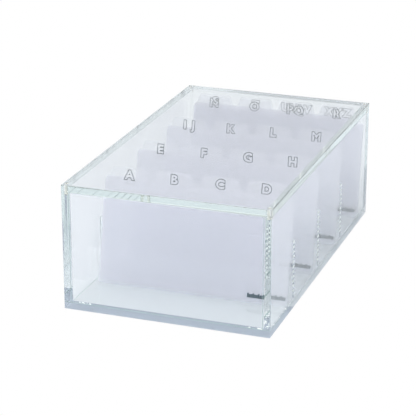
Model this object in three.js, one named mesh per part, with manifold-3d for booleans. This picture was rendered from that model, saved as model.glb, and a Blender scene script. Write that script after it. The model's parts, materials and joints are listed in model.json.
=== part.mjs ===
// Clear acrylic card box with a lift-off lid, three low partitions and twenty lettered index guides.
// Units are millimetres. +X is right, +Y is the back, +Z is up. The origin is the middle of the underside.

import * as THREE from 'three';
import { mergeVertices } from 'three/addons/utils/BufferGeometryUtils.js';
import Module from 'manifold-3d';

const wasm = await Module();
wasm.setup();

// Box
const BOX = { width: 115, depth: 195, height: 70 };
const PLATE = 4;
const INNER_WIDTH = BOX.width - 2 * PLATE;
const INNER_BACK = BOX.depth / 2 - PLATE;
const WALL_TOP = BOX.height - PLATE;
const WALL_HEIGHT = WALL_TOP - PLATE;

// Partitions that the guides lean on
const PARTITION = { thickness: 3, height: 34, firstFront: -55, pitch: 47, count: 3 };

// Dowels at the lid's corners, and the blind holes that they drop into
const PIN = { radius: 1.1, reach: 1.6, endInset: 3.3, segments: 24 };
const PIN_X = (BOX.width - PLATE) / 2;
const PIN_Y = BOX.depth / 2 - PIN.endInset;
const PIN_SEAT_RADIUS = PIN.radius + 0.1;
const BLIND_HOLE = { radius: 1.4, depth: 2.2 };

// Guides: a sheet with one tab, standing just above the floor and just off the right wall.
// A row's tabs sit a little to the right of its sheets' middle.
const GUIDE = { width: 104, bodyHeight: 55.35, tabHeight: 6.3, thickness: 0.3, lift: 0.15, centreX: 1.1 };
const TAB = { count: 4, pitch: 25.8, baseWidth: 22.6, topWidth: 20.6, cornerRadius: 2, cornerSteps: 5 };
const CARD_CORNER = { radius: 1.2, steps: 4 };
const ROW_FIT = { wallGap: 0.35, shoulderPitch: 0.55, footPitch: 1.6, rearLean: 10, tabShift: 0.7 };
const LAST_FIT = { wallGap: 1.6, shoulderPitch: 0.55, footPitch: 1.25, rearLean: 7.5, tabShift: 0 };

// Letters on the tabs, one row of guides for each partition and a double row at the back wall
const ROWS = [
  ['a', 'b', 'c', 'd'],
  ['e', 'f', 'g', 'h'],
  ['ij', 'k', 'l', 'm'],
];
const LAST_ROW = ['n', 'o', 'pq', 'r', 's', 't', 'uvw', 'xyz'];

const radians = THREE.MathUtils.degToRad;

function clearAcrylic() {
  return new THREE.MeshStandardMaterial({
    color: 0xe3edeb, roughness: 0.05, metalness: 0, transparent: true, opacity: 0.3,
  });
}

function frostedSheet() {
  return new THREE.MeshStandardMaterial({
    color: 0xd6dcea, roughness: 0.35, metalness: 0, transparent: true, opacity: 0.7,
  });
}

function namedMesh(name, geometry, material) {
  const mesh = new THREE.Mesh(geometry, material);
  mesh.name = name;
  return mesh;
}

// Manifold solid from a closed three.js geometry
function toSolid(geometry) {
  const bare = geometry.clone();
  bare.deleteAttribute('normal');
  bare.deleteAttribute('uv');
  const merged = mergeVertices(bare);
  return new wasm.Manifold(new wasm.Mesh({
    numProp: 3,
    vertProperties: new Float32Array(merged.attributes.position.array),
    triVerts: new Uint32Array(merged.index.array),
  }));
}

// three.js geometry from a manifold solid
function toGeometry(solid) {
  const mesh = solid.getMesh();
  const geometry = new THREE.BufferGeometry();
  geometry.setAttribute('position', new THREE.BufferAttribute(new Float32Array(mesh.vertProperties), 3));
  geometry.setIndex(new THREE.BufferAttribute(new Uint32Array(mesh.triVerts), 1));
  geometry.computeVertexNormals();
  return geometry;
}

// Upright cylinder with its axis through (x, y), from z = low to z = high
function uprightCylinder(radius, x, y, low, high) {
  const geometry = new THREE.CylinderGeometry(radius, radius, high - low, PIN.segments);
  geometry.rotateX(Math.PI / 2);
  geometry.translate(x, y, (low + high) / 2);
  return geometry;
}

function drilled(geometry, holes) {
  let solid = toSolid(geometry);
  for (const hole of holes) {
    solid = solid.subtract(toSolid(hole));
  }
  return toGeometry(solid);
}

// Rectangular plate given by its size and the middle of its underside
function plate(width, depth, height, x, y, z) {
  const geometry = new THREE.BoxGeometry(width, depth, height);
  geometry.translate(x, y, z + height / 2);
  return geometry;
}

function bottomPlate() {
  return namedMesh('bottom_plate', plate(BOX.width, BOX.depth, PLATE, 0, 0, 0), clearAcrylic());
}

// Side wall over the whole depth, with a blind hole for a lid dowel near each end of its top edge
function sideWall(name, side) {
  const blank = plate(PLATE, BOX.depth, WALL_HEIGHT, side * PIN_X, 0, PLATE);
  const holes = [-1, 1].map((end) => uprightCylinder(
    BLIND_HOLE.radius, side * PIN_X, end * PIN_Y, WALL_TOP - BLIND_HOLE.depth, WALL_TOP + 1,
  ));
  return namedMesh(name, drilled(blank, holes), clearAcrylic());
}

function endWall(name, end) {
  const y = end * (INNER_BACK + PLATE / 2);
  return namedMesh(name, plate(INNER_WIDTH, PLATE, WALL_HEIGHT, 0, y, PLATE), clearAcrylic());
}

function partitionFront(index) {
  return PARTITION.firstFront + index * PARTITION.pitch;
}

function partition(index) {
  const y = partitionFront(index) + PARTITION.thickness / 2;
  const geometry = plate(INNER_WIDTH, PARTITION.thickness, PARTITION.height, 0, y, PLATE);
  return namedMesh(`partition_${index + 1}`, geometry, clearAcrylic());
}

// Corners of the lid, counted from the front left one
function lidCorners() {
  return [[-1, -1], [1, -1], [-1, 1], [1, 1]].map(([side, end]) => [side * PIN_X, end * PIN_Y]);
}

function lid() {
  const group = new THREE.Group();
  const blank = plate(BOX.width, BOX.depth, PLATE, 0, 0, WALL_TOP);
  const seats = lidCorners().map(([x, y]) => uprightCylinder(
    PIN_SEAT_RADIUS, x, y, WALL_TOP - 1, BOX.height + 1,
  ));
  group.add(namedMesh('lid_plate', drilled(blank, seats), clearAcrylic()));
  lidCorners().forEach(([x, y], index) => {
    const pin = uprightCylinder(PIN.radius, x, y, WALL_TOP - PIN.reach, BOX.height);
    group.add(namedMesh(`lid_pin_${index + 1}`, pin, clearAcrylic()));
  });
  return group;
}

// Points along an arc about (x, y), from one angle to another in degrees
function arcPoints(x, y, radius, from, to, steps) {
  return Array.from({ length: steps + 1 }, (_, step) => {
    const angle = radians(from + (to - from) * step / steps);
    return new THREE.Vector2(x + radius * Math.cos(angle), y + radius * Math.sin(angle));
  });
}

// Outline of a guide in its own plane: foot along y = 0, tab on top at one of the four places
function guideOutline(tabIndex, tabShift) {
  const half = GUIDE.width / 2;
  const shoulder = GUIDE.bodyHeight;
  const top = shoulder + GUIDE.tabHeight;
  const tabX = (tabIndex - (TAB.count - 1) / 2) * TAB.pitch + tabShift;
  const slope = THREE.MathUtils.radToDeg(Math.atan2((TAB.baseWidth - TAB.topWidth) / 2, GUIDE.tabHeight));
  const tabRadius = TAB.cornerRadius;
  const cornerX = TAB.topWidth / 2 - tabRadius;
  const card = CARD_CORNER;
  return [
    ...arcPoints(half - card.radius, card.radius, card.radius, -90, 0, card.steps),
    ...arcPoints(half - card.radius, shoulder - card.radius, card.radius, 0, 90, card.steps),
    new THREE.Vector2(tabX + TAB.baseWidth / 2, shoulder),
    ...arcPoints(tabX + cornerX, top - tabRadius, tabRadius, slope, 90, TAB.cornerSteps),
    ...arcPoints(tabX - cornerX, top - tabRadius, tabRadius, 90, 180 - slope, TAB.cornerSteps),
    new THREE.Vector2(tabX - TAB.baseWidth / 2, shoulder),
    ...arcPoints(-half + card.radius, shoulder - card.radius, card.radius, 90, 180, card.steps),
    ...arcPoints(-half + card.radius, card.radius, card.radius, 180, 270, card.steps),
  ];
}

// Sheet cut to the outline, standing upright with the middle of its foot at the origin
function guideGeometry(tabIndex, tabShift) {
  const shape = new THREE.Shape(guideOutline(tabIndex, tabShift));
  const geometry = new THREE.ExtrudeGeometry(shape, { depth: GUIDE.thickness, bevelEnabled: false });
  geometry.translate(0, 0, -GUIDE.thickness / 2);
  geometry.rotateX(Math.PI / 2);
  return geometry;
}

// Where each guide of a row stands: foot line and backward lean in degrees. The rear guide's sheet rests
// against a face at supportY, at the height supportZ, and the others fan out in front of it.
function rowStance(count, supportY, supportZ, fit) {
  const rear = radians(fit.rearLean);
  const footZ = PLATE + GUIDE.lift;
  const clearance = fit.wallGap + GUIDE.thickness / 2;
  const rearFoot = supportY - clearance - (supportZ - footZ) * Math.tan(rear);
  const rearShoulder = rearFoot + GUIDE.bodyHeight * Math.sin(rear);
  return Array.from({ length: count }, (_, index) => {
    const behind = count - 1 - index;
    const foot = rearFoot - behind * fit.footPitch;
    const shoulder = rearShoulder - behind * fit.shoulderPitch;
    return { foot, lean: THREE.MathUtils.radToDeg(Math.asin((shoulder - foot) / GUIDE.bodyHeight)) };
  });
}

function guideRow(letters, stances, tabShift) {
  const group = new THREE.Group();
  letters.forEach((letter, index) => {
    const { foot, lean } = stances[index];
    const mesh = namedMesh(`guide_${letter}`, guideGeometry(index % TAB.count, tabShift), frostedSheet());
    mesh.position.set(GUIDE.centreX, foot, PLATE + GUIDE.lift);
    mesh.rotation.x = -radians(lean);
    group.add(mesh);
  });
  return group;
}

const model = new THREE.Group();
model.add(
  bottomPlate(),
  sideWall('left_wall', -1),
  sideWall('right_wall', 1),
  endWall('front_wall', -1),
  endWall('back_wall', 1),
);
for (let index = 0; index < PARTITION.count; index += 1) {
  model.add(partition(index));
}
model.add(lid());
ROWS.forEach((letters, index) => {
  const stances = rowStance(letters.length, partitionFront(index), PLATE + PARTITION.height, ROW_FIT);
  model.add(guideRow(letters, stances, ROW_FIT.tabShift));
});
const guideHeight = (GUIDE.bodyHeight + GUIDE.tabHeight) * Math.cos(radians(LAST_FIT.rearLean));
const guideTop = PLATE + GUIDE.lift + guideHeight;
const lastStances = rowStance(LAST_ROW.length, INNER_BACK, guideTop, LAST_FIT);
model.add(guideRow(LAST_ROW, lastStances, LAST_FIT.tabShift));

export default model;
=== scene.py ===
import json
import math
import random

import bmesh
import bpy
from mathutils import Matrix, Vector


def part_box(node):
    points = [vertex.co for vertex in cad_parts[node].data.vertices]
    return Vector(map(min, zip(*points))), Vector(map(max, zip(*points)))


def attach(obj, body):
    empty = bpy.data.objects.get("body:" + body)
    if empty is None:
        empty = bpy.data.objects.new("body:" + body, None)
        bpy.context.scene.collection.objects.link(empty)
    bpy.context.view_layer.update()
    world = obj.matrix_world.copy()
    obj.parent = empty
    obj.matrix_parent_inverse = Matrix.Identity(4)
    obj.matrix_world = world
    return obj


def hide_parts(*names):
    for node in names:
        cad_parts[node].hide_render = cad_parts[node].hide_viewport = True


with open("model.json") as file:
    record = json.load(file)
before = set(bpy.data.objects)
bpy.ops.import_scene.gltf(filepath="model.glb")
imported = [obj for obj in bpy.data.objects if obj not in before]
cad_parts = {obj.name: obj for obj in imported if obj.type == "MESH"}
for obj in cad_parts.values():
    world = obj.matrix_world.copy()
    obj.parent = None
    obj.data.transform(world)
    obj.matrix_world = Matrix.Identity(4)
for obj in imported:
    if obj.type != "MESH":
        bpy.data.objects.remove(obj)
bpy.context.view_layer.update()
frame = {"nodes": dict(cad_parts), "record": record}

MM = 0.001
RECORD = frame["record"]
BODIES = RECORD["behaviour"]["bodies"]
JOINTS = {joint["child"]: joint for joint in RECORD["behaviour"]["joints"]}

# Camera, looking down on the box from the front right
CAMERA = {
    "azimuth": 19.5,
    "elevation": 20.51,
    "aim": (-0.0107, 0.0, 0.0286),
    "distance": 0.9722,
    "lens": 147.36,
    "sensor": 36,
}

# Plates
BONDED = ["bottom_plate", "left_wall", "right_wall", "front_wall", "back_wall",
          "partition_1", "partition_2", "partition_3"]
TOUCHING = 1e-6              # faces nearer than this touch
PLACE_DIGITS = 7             # places along an axis are told apart by this many decimals
BOND_GAP = 0.005 * MM        # each bonded face stands back this far, so that no two faces coincide
LID_GAP = 0.04 * MM          # air under the loose lid
EDGE_RADIUS = 0.15 * MM      # softened edges of the plates
GRAZING = (0.35, 0.75)       # Layer Weight between which the underside's painted shade sets in
# Painted shade: colour that darkens what is seen through the front part of the resting underside at
# grazing angles
UNDERSIDE_PAINTED_SHADE = (0.59, 0.63, 0.70)
ACRYLIC_INDEX = 1.49
LID_DOWEL = {"seat": 1.2 * MM, "radius": 1.1 * MM, "chamfer": 0.15 * MM, "sides": 48}

# White beads up the weld at the right end of each partition: painted highlights for the glints along
# its edge
BEAD = {"across": 0.45 * MM, "along": 1.5 * MM, "up": 0.75 * MM, "pitch": 2.8 * MM, "clear": 3.2 * MM}

# White dots of painted highlight along the welds at the foot, in runs: start and end along the wall,
# and number of dots
FRONT_HIGHLIGHT_DOTS = [(-0.050, -0.038, 9), (0.045, 0.055, 9)]
RIGHT_HIGHLIGHT_DOTS = [(-0.094, -0.055, 40), (-0.055, -0.030, 8), (-0.030, 0.020, 32), (0.020, 0.094, 18)]
HIGHLIGHT_DOT = {"spread": 1.3 * MM, "radius": (0.20 * MM, 0.58 * MM), "flatness": 0.6, "seed": 7}

# Cement along the welds
WELD = {"thickness": 0.22 * MM, "inset": 0.20 * MM}

# Guides
SHEET = 0.3 * MM
BODY_HEIGHT = 55.35 * MM
TAB_HEIGHT = 6.3 * MM
TAB_BASE = 22.6 * MM
TAB_TOP = 20.6 * MM
TAB_CORNER = 2.0 * MM
SHEET_CORNER = 1.2 * MM
ROW_LENGTH = 4
LETTERS = [body[len("guide_"):] for body in BODIES if body.startswith("guide_")]

# Printing on the guides
CAP_HEIGHT = 5.45 * MM
LETTER_MIDDLE = 57.7 * MM    # height of the letters' middle on the sheet
LETTER_WEIGHT = 0.5 * MM     # how far the outline stands outside the plain letter
LETTER_LINE = 0.40 * MM      # width of the printed outline
LETTER_WIDTH = 1.06
PLAIN_SPACING = 1.3          # space between letters, in the font's own spacing
LETTER_SPACING = {"IJ": 2.0}  # tabs that have another spacing
FONT_CAP = 0.682             # height of the built-in font's capitals
INK = 0.02 * MM              # thickness of the ink, and its height above the sheet
MARK = {
    "right": 51.8 * MM,
    "foot": 3.3 * MM,
    "pitch": 1.0 * MM,
    "width": 0.88 * MM,
    "heights": (1.9 * MM, 1.9 * MM, 2.5 * MM),
    "count": 18,
}

# Studio
FLOOR_HALF = 4.0
FLOOR_TOP = -0.1 * MM
FLOOR_COLOUR = (0.61, 0.635, 0.665)
SKY = {"low": (0.76, 0.79, 0.80), "high": (1.50, 1.50, 1.50), "from": 0.37, "to": 0.75}
FLAG = {"towards": (0.7071, 0.7071, 0.0), "from": 0.886, "to": 0.900, "colour": (0.045, 0.085, 0.10)}
KEY = {"place": (-0.5, -1.3, 1.1), "size": 0.8, "power": 13.0}


def link(obj):
    bpy.context.scene.collection.objects.link(obj)
    return obj


def mesh_object(name, mesh):
    return link(bpy.data.objects.new(name, mesh))


# ---------------------------------------------------------------- materials

def new_material(name):
    material = bpy.data.materials.new(name)
    material.use_nodes = True
    nodes = material.node_tree.nodes
    return material, nodes, material.node_tree.links


def smooth_step(nodes, links, value, start, end):
    """Output that rises smoothly from 0 to 1 as a value goes from start to end."""
    step = nodes.new("ShaderNodeMapRange")
    step.interpolation_type = "SMOOTHSTEP"
    links.new(value, step.inputs["Value"])
    step.inputs["From Min"].default_value = start
    step.inputs["From Max"].default_value = end
    return step.outputs["Result"]


def product(nodes, links, first, second):
    times = nodes.new("ShaderNodeMath")
    times.operation = "MULTIPLY"
    links.new(first, times.inputs[0])
    links.new(second, times.inputs[1])
    return times.outputs[0]


def principled(nodes):
    return next(node for node in nodes if node.type == "BSDF_PRINCIPLED")


def acrylic_material():
    """Clear cast acrylic. Faces marked as bonded let light straight through, as a solvent weld does.
    Faces marked as resting let light through with painted shade at grazing angles.
    """
    material, nodes, links = new_material("clear_acrylic")
    shader = principled(nodes)
    output = next(node for node in nodes if node.type == "OUTPUT_MATERIAL")
    shader.inputs["Base Color"].default_value = (1, 1, 1, 1)
    shader.inputs["IOR"].default_value = ACRYLIC_INDEX
    shader.inputs["Transmission Weight"].default_value = 1.0
    shader.inputs["Roughness"].default_value = 0.0
    path = nodes.new("ShaderNodeLightPath")
    lighting = nodes.new("ShaderNodeMath")
    lighting.operation = "MAXIMUM"
    links.new(path.outputs["Is Shadow Ray"], lighting.inputs[0])
    links.new(path.outputs["Is Diffuse Ray"], lighting.inputs[1])
    lit_through = nodes.new("ShaderNodeBsdfTransparent")
    lit_through.inputs["Color"].default_value = (0.955, 0.965, 0.965, 1)
    lit_glass = nodes.new("ShaderNodeMixShader")
    links.new(lighting.outputs[0], lit_glass.inputs["Fac"])
    links.new(shader.outputs["BSDF"], lit_glass.inputs[1])
    links.new(lit_through.outputs["BSDF"], lit_glass.inputs[2])
    # Painted shade: the front part of a resting underside darkens the light through it at grazing
    # angles
    resting = nodes.new("ShaderNodeAttribute")
    resting.attribute_name = "resting"
    facing = nodes.new("ShaderNodeLayerWeight")
    grazing = smooth_step(nodes, links, facing.outputs["Facing"], *GRAZING)
    painted_shade_share = product(nodes, links, grazing, resting.outputs["Fac"])
    painted_shade_colour = nodes.new("ShaderNodeMix")
    painted_shade_colour.data_type = "RGBA"
    links.new(painted_shade_share, painted_shade_colour.inputs["Factor"])
    painted_shade_colour.inputs["A"].default_value = (1, 1, 1, 1)
    painted_shade_colour.inputs["B"].default_value = (*UNDERSIDE_PAINTED_SHADE, 1)
    through = nodes.new("ShaderNodeBsdfTransparent")
    links.new(painted_shade_colour.outputs["Result"], through.inputs["Color"])
    bonded = nodes.new("ShaderNodeAttribute")
    bonded.attribute_name = "bonded"
    mix = nodes.new("ShaderNodeMixShader")
    absorption = nodes.new("ShaderNodeVolumeAbsorption")
    absorption.inputs["Color"].default_value = (0.26, 0.57, 0.50, 1)
    absorption.inputs["Density"].default_value = 1.5
    links.new(bonded.outputs["Fac"], mix.inputs["Fac"])
    links.new(lit_glass.outputs["Shader"], mix.inputs[1])
    links.new(through.outputs["BSDF"], mix.inputs[2])
    links.new(mix.outputs["Shader"], output.inputs["Surface"])
    links.new(absorption.outputs["Volume"], output.inputs["Volume"])
    return material


def dowel_material():
    """Cream plastic rod that lets some light through."""
    material, nodes, links = new_material("clear_dowel")
    shader = principled(nodes)
    shader.inputs["Base Color"].default_value = (0.97, 0.95, 0.88, 1)
    shader.inputs["Roughness"].default_value = 0.12
    shader.inputs["Transmission Weight"].default_value = 0.75
    shader.inputs["IOR"].default_value = ACRYLIC_INDEX
    return material


def sheet_material():
    """Thin satin plastic. Some light goes straight through, and some is scattered to the far side."""
    material, nodes, links = new_material("frosted_sheet")
    shader = principled(nodes)
    output = next(node for node in nodes if node.type == "OUTPUT_MATERIAL")
    shader.inputs["Base Color"].default_value = (0.90, 0.89, 0.91, 1)
    shader.inputs["Roughness"].default_value = 0.38
    scattered = nodes.new("ShaderNodeBsdfTranslucent")
    scattered.inputs["Color"].default_value = (0.90, 0.895, 0.925, 1)
    body = nodes.new("ShaderNodeMixShader")
    body.inputs["Fac"].default_value = 0.42
    links.new(shader.outputs["BSDF"], body.inputs[1])
    links.new(scattered.outputs["BSDF"], body.inputs[2])
    through = nodes.new("ShaderNodeBsdfTransparent")
    through.inputs["Color"].default_value = (0.965, 0.967, 0.98, 1)
    mix = nodes.new("ShaderNodeMixShader")
    mix.inputs["Fac"].default_value = 0.80
    links.new(body.outputs["Shader"], mix.inputs[1])
    links.new(through.outputs["BSDF"], mix.inputs[2])
    links.new(mix.outputs["Shader"], output.inputs["Surface"])
    return material


def ink_material(name, colour):
    material, nodes, links = new_material(name)
    shader = principled(nodes)
    shader.inputs["Base Color"].default_value = (*colour, 1)
    shader.inputs["Roughness"].default_value = 0.6
    shader.inputs["Specular IOR Level"].default_value = 0.1
    return material


def floor_material():
    """Plain pale floor, which the camera sees as white."""
    material, nodes, links = new_material("pale_floor")
    shader = principled(nodes)
    output = next(node for node in nodes if node.type == "OUTPUT_MATERIAL")
    shader.inputs["Base Color"].default_value = (*FLOOR_COLOUR, 1)
    shader.inputs["Roughness"].default_value = 0.9
    shader.inputs["Specular IOR Level"].default_value = 0.0
    path = nodes.new("ShaderNodeLightPath")
    white = nodes.new("ShaderNodeEmission")
    mix = nodes.new("ShaderNodeMixShader")
    links.new(path.outputs["Is Camera Ray"], mix.inputs["Fac"])
    links.new(shader.outputs["BSDF"], mix.inputs[1])
    links.new(white.outputs["Emission"], mix.inputs[2])
    links.new(mix.outputs["Shader"], output.inputs["Surface"])
    return material


ACRYLIC = acrylic_material()
DOWEL = dowel_material()
FROSTED = sheet_material()
LETTER_INK = ink_material("letter_ink", (0.03, 0.05, 0.07))
MARK_INK = ink_material("mark_ink", (0.004, 0.035, 0.05))
# White spheres that stand in for glints along the welds: painted highlight
HIGHLIGHT_WHITE = ink_material("weld_bead", (0.93, 0.95, 0.94))
WELD_GREY = ink_material("weld_line", (0.36, 0.46, 0.45))


# ---------------------------------------------------------------- acrylic plates

def contact_patches(boxes):
    """Where the plates' faces meet: for each plate a list of (axis, side, low corner, high corner)."""
    patches = {name: [] for name in boxes}
    for name, (low, high) in boxes.items():
        for other, (other_low, other_high) in boxes.items():
            for axis in range(3):
                if other == name or abs(high[axis] - other_low[axis]) > TOUCHING:
                    continue
                first = Vector(map(max, low, other_low))
                last = Vector(map(min, high, other_high))
                across = [i for i in range(3) if i != axis]
                if all(last[i] - first[i] > TOUCHING for i in across):
                    patches[name].append((axis, 1, first, last))
                    patches[other].append((axis, 0, first, last))
    return patches


def cut_places(low, high, patches, axis):
    """Sorted places along an axis where the plate's faces are divided."""
    places = {round(low[axis], PLACE_DIGITS), round(high[axis], PLACE_DIGITS)}
    for patch_axis, _, first, last in patches:
        if patch_axis != axis:
            places.update(round(end[axis], PLACE_DIGITS) for end in (first, last))
    return sorted(places)


def is_bonded(centre, axis, side, patches):
    for patch_axis, patch_side, first, last in patches:
        across = [i for i in range(3) if i != axis]
        within = all(first[i] < centre[i] < last[i] for i in across)
        if (patch_axis, patch_side) == (axis, side) and within:
            return True
    return False


def plate_mesh(name, low, high, patches, resting=False):
    """Closed plate with softened free edges.

    One face attribute marks where light goes straight on into what touches the plate. Another marks
    the front part of the underside of a plate that rests on the table, which gets painted shade at
    grazing angles.
    """
    bm = bmesh.new()
    bonded = bm.faces.layers.float.new("bonded")
    painted_shade_layer = bm.faces.layers.float.new("resting")
    cuts = [cut_places(low, high, patches, axis) for axis in range(3)]
    set_back = {(axis, side): BOND_GAP for axis, side, _, _ in patches}
    corners = {}

    def corner(point):
        if point not in corners:
            moved = []
            for axis in range(3):
                value = point[axis]
                if value == cuts[axis][0]:
                    value += set_back.get((axis, 0), 0)
                if value == cuts[axis][-1]:
                    value -= set_back.get((axis, 1), 0)
                moved.append(value)
            corners[point] = bm.verts.new(moved)
        return corners[point]

    for axis in range(3):
        u, v = [(1, 2), (2, 0), (0, 1)][axis]
        for side in (0, 1):
            place = cuts[axis][-side]
            for u0, u1 in zip(cuts[u], cuts[u][1:]):
                for v0, v1 in zip(cuts[v], cuts[v][1:]):
                    loop = [(u0, v0), (u1, v0), (u1, v1), (u0, v1)]
                    if side == 0:
                        loop.reverse()
                    points = []
                    for pu, pv in loop:
                        point = [0.0, 0.0, 0.0]
                        point[axis], point[u], point[v] = place, pu, pv
                        points.append(tuple(point))
                    face = bm.faces.new([corner(point) for point in points])
                    centre = [0.0, 0.0, 0.0]
                    centre[u], centre[v] = (u0 + u1) / 2, (v0 + v1) / 2
                    underside = resting and (axis, side) == (2, 0)
                    face[bonded] = 1.0 if underside or is_bonded(centre, axis, side, patches) else 0.0
                    # Only the front cells of the underside get the painted shade
                    in_front = underside and v0 < cuts[1][2]
                    face[painted_shade_layer] = 1.0 if in_front else 0.0
    bm.normal_update()

    def is_free(edge):
        return edge.calc_face_angle(0) > 1 and not any(face[bonded] for face in edge.link_faces)

    free = [edge for edge in bm.edges if is_free(edge)]
    bmesh.ops.bevel(bm, geom=free, offset=EDGE_RADIUS, segments=2, profile=0.5, affect="EDGES")
    mesh = bpy.data.meshes.new(name)
    bm.to_mesh(mesh)
    bm.free()
    return mesh


def apply_modifiers(piece):
    depsgraph = bpy.context.evaluated_depsgraph_get()
    shaped = bpy.data.meshes.new_from_object(piece.evaluated_get(depsgraph))
    shaped.name = piece.data.name
    piece.modifiers.clear()
    piece.data = shaped


def make_plates():
    boxes = {name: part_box(name) for name in BONDED}
    patches = contact_patches(boxes)
    for name, (low, high) in boxes.items():
        mesh = plate_mesh(name, low, high, patches[name], name == "bottom_plate")
        piece = mesh_object("clear_" + name, mesh)
        piece.data.materials.append(ACRYLIC)
        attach(piece, "box")
        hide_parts(name)


def upright_cylinder(name, centre, radius, low, high, chamfer=0.0):
    """Closed cylinder about an upright axis, with chamfered ends."""
    sides = LID_DOWEL["sides"]
    rings = [
        (low, radius - chamfer),
        (low + chamfer, radius),
        (high - chamfer, radius),
        (high, radius - chamfer),
    ]
    if chamfer == 0:
        rings = [rings[0], rings[3]]
    bm = bmesh.new()
    loops = []
    for z, r in rings:
        turns = [2 * math.pi * i / sides for i in range(sides)]
        ring = [(centre.x + r * math.cos(t), centre.y + r * math.sin(t), z) for t in turns]
        loops.append([bm.verts.new(point) for point in ring])
    for lower, upper in zip(loops, loops[1:]):
        for i in range(sides):
            j = (i + 1) % sides
            bm.faces.new((lower[i], lower[j], upper[j], upper[i]))
    bm.faces.new(reversed(loops[0]))
    bm.faces.new(loops[-1])
    mesh = bpy.data.meshes.new(name)
    bm.to_mesh(mesh)
    bm.free()
    return mesh


def make_lid():
    low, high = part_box("lid_plate")
    low.z += LID_GAP
    piece = mesh_object("clear_lid_plate", plate_mesh("clear_lid_plate", low, high, []))
    for index in range(1, 5):
        dowel = "lid_pin_" + str(index)
        dowel_low, dowel_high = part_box(dowel)
        centre = (dowel_low + dowel_high) / 2
        seat = upright_cylinder("drill", centre, LID_DOWEL["seat"], low.z - MM, high.z + MM)
        drill = mesh_object("drill", seat)
        hole = piece.modifiers.new("hole", "BOOLEAN")
        hole.operation = "DIFFERENCE"
        hole.object = drill
        apply_modifiers(piece)
        bpy.data.objects.remove(drill)
        radius, chamfer = LID_DOWEL["radius"], LID_DOWEL["chamfer"]
        rod = upright_cylinder("clear_" + dowel, centre, radius, dowel_low.z, dowel_high.z, chamfer)
        rod.materials.append(DOWEL)
        rod_piece = mesh_object("clear_" + dowel, rod)
        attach(rod_piece, "lid")
        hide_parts(dowel)
    piece.data.materials.clear()
    piece.data.materials.append(ACRYLIC)
    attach(piece, "lid")
    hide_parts("lid_plate")


def make_highlight_beads():
    """White beads up the weld at the right end of each partition: painted highlights for the glints
    along its edge.
    """
    for index in (1, 2, 3):
        low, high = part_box("partition_" + str(index))
        bm = bmesh.new()
        z = high.z - BEAD["pitch"] / 2
        while z > low.z + BEAD["clear"]:
            place = Matrix.Translation((high.x, (low.y + high.y) / 2, z))
            size = Matrix.Diagonal((BEAD["across"], BEAD["along"], BEAD["up"], 1))
            bmesh.ops.create_uvsphere(bm, u_segments=16, v_segments=10, radius=1, matrix=place @ size)
            z -= BEAD["pitch"]
        mesh = bpy.data.meshes.new("painted_highlight_beads")
        bm.to_mesh(mesh)
        bm.free()
        mesh.shade_smooth()
        highlight_beads = mesh_object("painted_highlight_beads_" + str(index), mesh)
        highlight_beads.data.materials.append(HIGHLIGHT_WHITE)
        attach(highlight_beads, "box")


def make_foot_highlight_dots():
    """White dots of uneven size along the welds between the bottom plate and the front and right walls:
    painted highlights.
    """
    draw = random.Random(HIGHLIGHT_DOT["seed"])
    plate_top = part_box("bottom_plate")[1].z
    wall_low, wall_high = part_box("front_wall")
    front = (wall_low.y + wall_high.y) / 2
    wall_low, wall_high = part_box("right_wall")
    right = (wall_low.x + wall_high.x) / 2
    bm = bmesh.new()
    for axis, runs in ((0, FRONT_HIGHLIGHT_DOTS), (1, RIGHT_HIGHLIGHT_DOTS)):
        for start, end, count in runs:
            for _ in range(count):
                place = Vector((right, front, plate_top))
                place[axis] = draw.uniform(start, end)
                place[1 - axis] += draw.uniform(-HIGHLIGHT_DOT["spread"], HIGHLIGHT_DOT["spread"])
                radius = draw.uniform(*HIGHLIGHT_DOT["radius"])
                size = Matrix.Diagonal((radius, radius, radius * HIGHLIGHT_DOT["flatness"], 1))
                matrix = Matrix.Translation(place) @ size
                bmesh.ops.create_uvsphere(bm, u_segments=12, v_segments=8, radius=1, matrix=matrix)
    mesh = bpy.data.meshes.new("painted_highlight_dots")
    bm.to_mesh(mesh)
    bm.free()
    mesh.shade_smooth()
    highlight_dots = mesh_object("painted_highlight_dots", mesh)
    highlight_dots.data.materials.append(HIGHLIGHT_WHITE)
    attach(highlight_dots, "box")


def make_weld_lines():
    """Thin lines of cement along the outer welds at the front and the right, and inside on the left."""
    low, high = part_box("bottom_plate")
    wall_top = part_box("left_wall")[1].z - WELD["inset"]
    inner_left, inner_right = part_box("left_wall")[1].x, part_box("right_wall")[0].x
    inner_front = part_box("front_wall")[1].y
    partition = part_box("partition_1")[0].y
    front, left, right = low.y + WELD["inset"], low.x + WELD["inset"], high.x - WELD["inset"]
    back = high.y - WELD["inset"]
    runs = {
        "front_foot": ((left, front, high.z), (right, front, high.z)),
        "right_foot": ((right, front, high.z), (right, back, high.z)),
        "front_left": ((inner_left, front, high.z), (inner_left, front, wall_top)),
        "front_right": ((inner_right, front, high.z), (inner_right, front, wall_top)),
        "inside_left": ((inner_left, inner_front, high.z), (inner_left, partition, high.z)),
    }
    thick = Vector((1, 1, 1)) * WELD["thickness"]
    for name, (start, end) in runs.items():
        start, end = Vector(start), Vector(end)
        bm = bmesh.new()
        size = Matrix.Diagonal((*(end - start + thick), 1))
        bmesh.ops.create_cube(bm, size=1, matrix=Matrix.Translation((start + end) / 2) @ size)
        mesh = bpy.data.meshes.new("weld_line")
        bm.to_mesh(mesh)
        bm.free()
        line = mesh_object("weld_line_" + name, mesh)
        line.data.materials.append(WELD_GREY)
        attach(line, "box")


# ---------------------------------------------------------------- guides

def arc(x, y, radius, start, end, steps=8):
    angles = [math.radians(start + (end - start) * i / steps) for i in range(steps + 1)]
    return [(x + radius * math.cos(a), y + radius * math.sin(a)) for a in angles]


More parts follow.
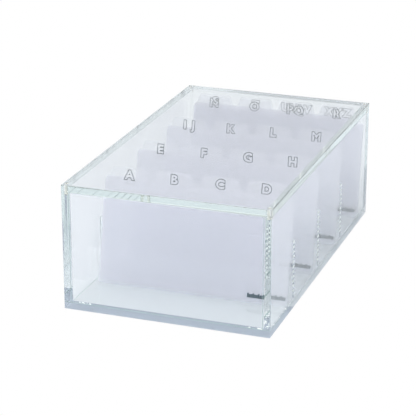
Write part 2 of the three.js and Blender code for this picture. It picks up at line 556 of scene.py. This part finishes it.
def guide_outline(width, x):
    """Outline of a guide in its own plane, with its tab's middle at x."""
    half = width / 2
    top = BODY_HEIGHT + TAB_HEIGHT
    slope = math.degrees(math.atan2((TAB_BASE - TAB_TOP) / 2, TAB_HEIGHT))
    inset = half - SHEET_CORNER
    corner = TAB_TOP / 2 - TAB_CORNER
    return [
        *arc(inset, SHEET_CORNER, SHEET_CORNER, -90, 0),
        *arc(inset, BODY_HEIGHT - SHEET_CORNER, SHEET_CORNER, 0, 90),
        (x + TAB_BASE / 2, BODY_HEIGHT),
        *arc(x + corner, top - TAB_CORNER, TAB_CORNER, slope, 90),
        *arc(x - corner, top - TAB_CORNER, TAB_CORNER, 90, 180 - slope),
        (x - TAB_BASE / 2, BODY_HEIGHT),
        *arc(-inset, BODY_HEIGHT - SHEET_CORNER, SHEET_CORNER, 90, 180),
        *arc(-inset, SHEET_CORNER, SHEET_CORNER, 180, 270),
    ]


def extruded(name, outline, back, front):
    """Closed mesh of an outline in X and Z, between two places along -Y."""
    bm = bmesh.new()
    rear = [bm.verts.new((x, -back, z)) for x, z in outline]
    fore = [bm.verts.new((x, -front, z)) for x, z in outline]
    bm.faces.new(fore)
    bm.faces.new(reversed(rear))
    count = len(outline)
    for i in range(count):
        j = (i + 1) % count
        bm.faces.new((fore[j], fore[i], rear[i], rear[j]))
    bm.normal_update()
    mesh = bpy.data.meshes.new(name)
    bm.to_mesh(mesh)
    bm.free()
    return mesh


def guide_stance(node):
    """Width of a guide, and the matrix from its own plane to its place in the box."""
    low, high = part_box(node)
    foot = Vector(JOINTS[node]["pos_m"])
    lean = math.atan2(high.y - low.y - SHEET, high.z - low.z)
    return high.x - low.x, Matrix.Translation(foot) @ Matrix.Rotation(-lean, 4, "X")


def tab_middle(node):
    """Middle of a guide's tab along X, from the highest points of its CAD sheet."""
    points = [vertex.co for vertex in frame["nodes"][node].data.vertices]
    top = max(point.z for point in points)
    across = [point.x for point in points if point.z > top - TAB_CORNER / 2]
    return (min(across) + max(across)) / 2 - JOINTS[node]["pos_m"][0]


def glyph_loops(text):
    """Closed outlines of a text in the built-in font, as lists of points in letter heights."""
    curve = bpy.data.curves.new("glyph", "FONT")
    curve.body = text
    curve.align_x = "CENTER"
    curve.fill_mode = "NONE"
    curve.resolution_u = 4
    curve.space_character = LETTER_SPACING.get(text, PLAIN_SPACING)
    holder = link(bpy.data.objects.new("glyph", curve))
    depsgraph = bpy.context.evaluated_depsgraph_get()
    mesh = bpy.data.meshes.new_from_object(holder.evaluated_get(depsgraph))
    neighbours = {vertex.index: [] for vertex in mesh.vertices}
    for edge in mesh.edges:
        a, b = edge.vertices
        neighbours[a].append(b)
        neighbours[b].append(a)
    loops, seen = [], set()
    for start in neighbours:
        if start in seen:
            continue
        loop, here, before = [], start, None
        while here not in seen:
            seen.add(here)
            loop.append(mesh.vertices[here].co.to_2d())
            ahead = [n for n in neighbours[here] if n != before] or neighbours[here]
            before, here = here, ahead[0]
        loops.append(loop)
    bpy.data.objects.remove(holder)
    bpy.data.meshes.remove(mesh)
    bpy.data.curves.remove(curve)
    return loops


def offset_loop(loop, distance):
    """The loop moved to its right by a distance, with mitred corners."""
    count = len(loop)
    moved = []
    for i, point in enumerate(loop):
        into = (point - loop[i - 1]).normalized()
        out = (loop[(i + 1) % count] - point).normalized()
        normal_in, normal_out = Vector((into.y, -into.x)), Vector((out.y, -out.x))
        mitre = (normal_in + normal_out) / max(1 + normal_in.dot(normal_out), 0.5)
        moved.append(point + mitre * distance)
    return moved


def tidy_loop(loop):
    """Drops points that lie almost on each other."""
    return [point for i, point in enumerate(loop) if (point - loop[i - 1]).length > 1e-3]


def ribbon(bm, inner, outer, back, front):
    """Closed flat band between two loops."""
    count = len(inner)
    rings = [[bm.verts.new((p.x, -depth, p.y)) for p in loop]
             for loop, depth in ((inner, front), (outer, front), (outer, back), (inner, back))]
    for i in range(count):
        j = (i + 1) % count
        for k in range(4):
            a, b = rings[k], rings[(k + 1) % 4]
            bm.faces.new((a[i], a[j], b[j], b[i]))


def letter_mesh(name, text, x):
    """Outlined capitals, as a thin layer of ink on the front of a guide."""
    scale = (CAP_HEIGHT - 2 * LETTER_WEIGHT) / FONT_CAP
    loops = [tidy_loop(loop) for loop in glyph_loops(text)]
    across = [point.x for loop in loops for point in loop]
    middle = (min(across) + max(across)) / 2
    bm = bmesh.new()
    base = LETTER_MIDDLE - FONT_CAP / 2 * scale
    for loop in loops:
        placed = [Vector((x + (p.x - middle) * scale * LETTER_WIDTH, base + p.y * scale)) for p in loop]
        inner = offset_loop(placed, LETTER_WEIGHT - LETTER_LINE / 2)
        outer = offset_loop(placed, LETTER_WEIGHT + LETTER_LINE / 2)
        ribbon(bm, inner, outer, SHEET / 2 + INK, SHEET / 2 + 2 * INK)
    bmesh.ops.recalc_face_normals(bm, faces=bm.faces)
    mesh = bpy.data.meshes.new(name)
    bm.to_mesh(mesh)
    bm.free()
    return mesh


def mark_mesh(name):
    """Row of short printed bars near the guide's lower right corner."""
    bm = bmesh.new()
    for index in range(MARK["count"]):
        x = MARK["right"] - index * MARK["pitch"]
        height = MARK["heights"][index % len(MARK["heights"])]
        low = Vector((x - MARK["width"], -SHEET / 2 - 2 * INK, MARK["foot"]))
        high = Vector((x, -SHEET / 2 - INK, MARK["foot"] + height))
        size = Matrix.Diagonal((*(high - low), 1))
        bmesh.ops.create_cube(bm, size=1, matrix=Matrix.Translation((low + high) / 2) @ size)
    mesh = bpy.data.meshes.new(name)
    bm.to_mesh(mesh)
    bm.free()
    return mesh


def on_guide(name, mesh, placed, material, node):
    piece = mesh_object(name, mesh)
    piece.data.transform(placed)
    piece.data.materials.append(material)
    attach(piece, node)
    return piece


def front_guides():
    """The foremost guide of each row."""
    rows = [LETTERS[i:i + ROW_LENGTH] for i in range(0, len(LETTERS), ROW_LENGTH)]
    return [min(row, key=lambda letters: JOINTS["guide_" + letters]["pos_m"][1]) for row in rows]


def make_guides():
    marked = front_guides()
    for letters in LETTERS:
        node = "guide_" + letters
        width, placed = guide_stance(node)
        x = tab_middle(node)
        blank = extruded(node, guide_outline(width, x), -SHEET / 2, SHEET / 2)
        sheet = on_guide("sheet_" + letters, blank, placed, FROSTED, node)
        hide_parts(node)
        name = "letters_" + letters
        on_guide(name, letter_mesh(name, letters.upper(), x), placed, LETTER_INK, node)
        if letters in marked:
            name = "marks_" + letters
            on_guide(name, mark_mesh(name), placed, MARK_INK, node)


# ---------------------------------------------------------------- stage

def make_camera():
    azimuth, elevation = math.radians(CAMERA["azimuth"]), math.radians(CAMERA["elevation"])
    back = Vector((
        math.sin(azimuth) * math.cos(elevation),
        -math.cos(azimuth) * math.cos(elevation),
        math.sin(elevation),
    ))
    camera = link(bpy.data.objects.new("camera", bpy.data.cameras.new("camera")))
    camera.data.lens = CAMERA["lens"]
    camera.data.sensor_width = CAMERA["sensor"]
    camera.data.clip_start = 0.01
    camera.data.clip_end = 100
    camera.location = Vector(CAMERA["aim"]) + back * CAMERA["distance"]
    camera.rotation_euler = (-back).to_track_quat("-Z", "Y").to_euler()
    bpy.context.scene.camera = camera


def make_stage():
    bm = bmesh.new()
    half = FLOOR_HALF
    points = [(-half, -half), (half, -half), (half, half), (-half, half)]
    bm.faces.new([bm.verts.new((x, y, FLOOR_TOP)) for x, y in points])
    mesh = bpy.data.meshes.new("floor")
    bm.to_mesh(mesh)
    bm.free()
    floor = mesh_object("floor", mesh)
    floor.data.materials.append(floor_material())
    make_world()
    make_key_light()


def make_world():
    """Soft sky, brighter overhead, with a dark flag behind on the right. The camera sees white."""
    world = bpy.data.worlds.new("studio")
    bpy.context.scene.world = world
    world.use_nodes = True
    nodes, links = world.node_tree.nodes, world.node_tree.links
    sky = next(node for node in nodes if node.type == "BACKGROUND")
    output = next(node for node in nodes if node.type == "OUTPUT_WORLD")
    direction = nodes.new("ShaderNodeTexCoord")
    towards = nodes.new("ShaderNodeVectorMath")
    towards.operation = "DOT_PRODUCT"
    links.new(direction.outputs["Generated"], towards.inputs[0])
    towards.inputs[1].default_value = FLAG["towards"]
    flag = smooth_step(nodes, links, towards.outputs["Value"], FLAG["from"], FLAG["to"])
    split = nodes.new("ShaderNodeSeparateXYZ")
    links.new(direction.outputs["Generated"], split.inputs[0])
    height = smooth_step(nodes, links, split.outputs["Z"], SKY["from"], SKY["to"])
    open_sky = nodes.new("ShaderNodeMix")
    open_sky.data_type = "RGBA"
    links.new(height, open_sky.inputs["Factor"])
    open_sky.inputs["A"].default_value = (*SKY["low"], 1)
    open_sky.inputs["B"].default_value = (*SKY["high"], 1)
    colour = nodes.new("ShaderNodeMix")
    colour.data_type = "RGBA"
    links.new(flag, colour.inputs["Factor"])
    links.new(open_sky.outputs["Result"], colour.inputs["A"])
    colour.inputs["B"].default_value = (*FLAG["colour"], 1)
    links.new(colour.outputs["Result"], sky.inputs["Color"])
    white = nodes.new("ShaderNodeBackground")
    white.inputs["Color"].default_value = (1, 1, 1, 1)
    path = nodes.new("ShaderNodeLightPath")
    mix = nodes.new("ShaderNodeMixShader")
    links.new(path.outputs["Is Camera Ray"], mix.inputs["Fac"])
    links.new(sky.outputs["Background"], mix.inputs[1])
    links.new(white.outputs["Background"], mix.inputs[2])
    links.new(mix.outputs["Shader"], output.inputs["Surface"])


def make_key_light():
    lamp = bpy.data.lights.new("key", "AREA")
    lamp.size = KEY["size"]
    lamp.energy = KEY["power"]
    light = link(bpy.data.objects.new("key", lamp))
    light.visible_transmission = False
    light.visible_glossy = False
    light.location = KEY["place"]
    light.rotation_euler = (-Vector(KEY["place"])).to_track_quat("-Z", "Y").to_euler()


def set_light_paths():
    scene = bpy.context.scene
    scene.view_settings.view_transform = "Standard"
    scene.cycles.max_bounces = 40
    scene.cycles.transmission_bounces = 40
    scene.cycles.glossy_bounces = 40
    scene.cycles.transparent_max_bounces = 64


make_camera()
make_stage()
set_light_paths()
make_plates()
make_lid()
make_highlight_beads()
make_foot_highlight_dots()
make_weld_lines()
make_guides()
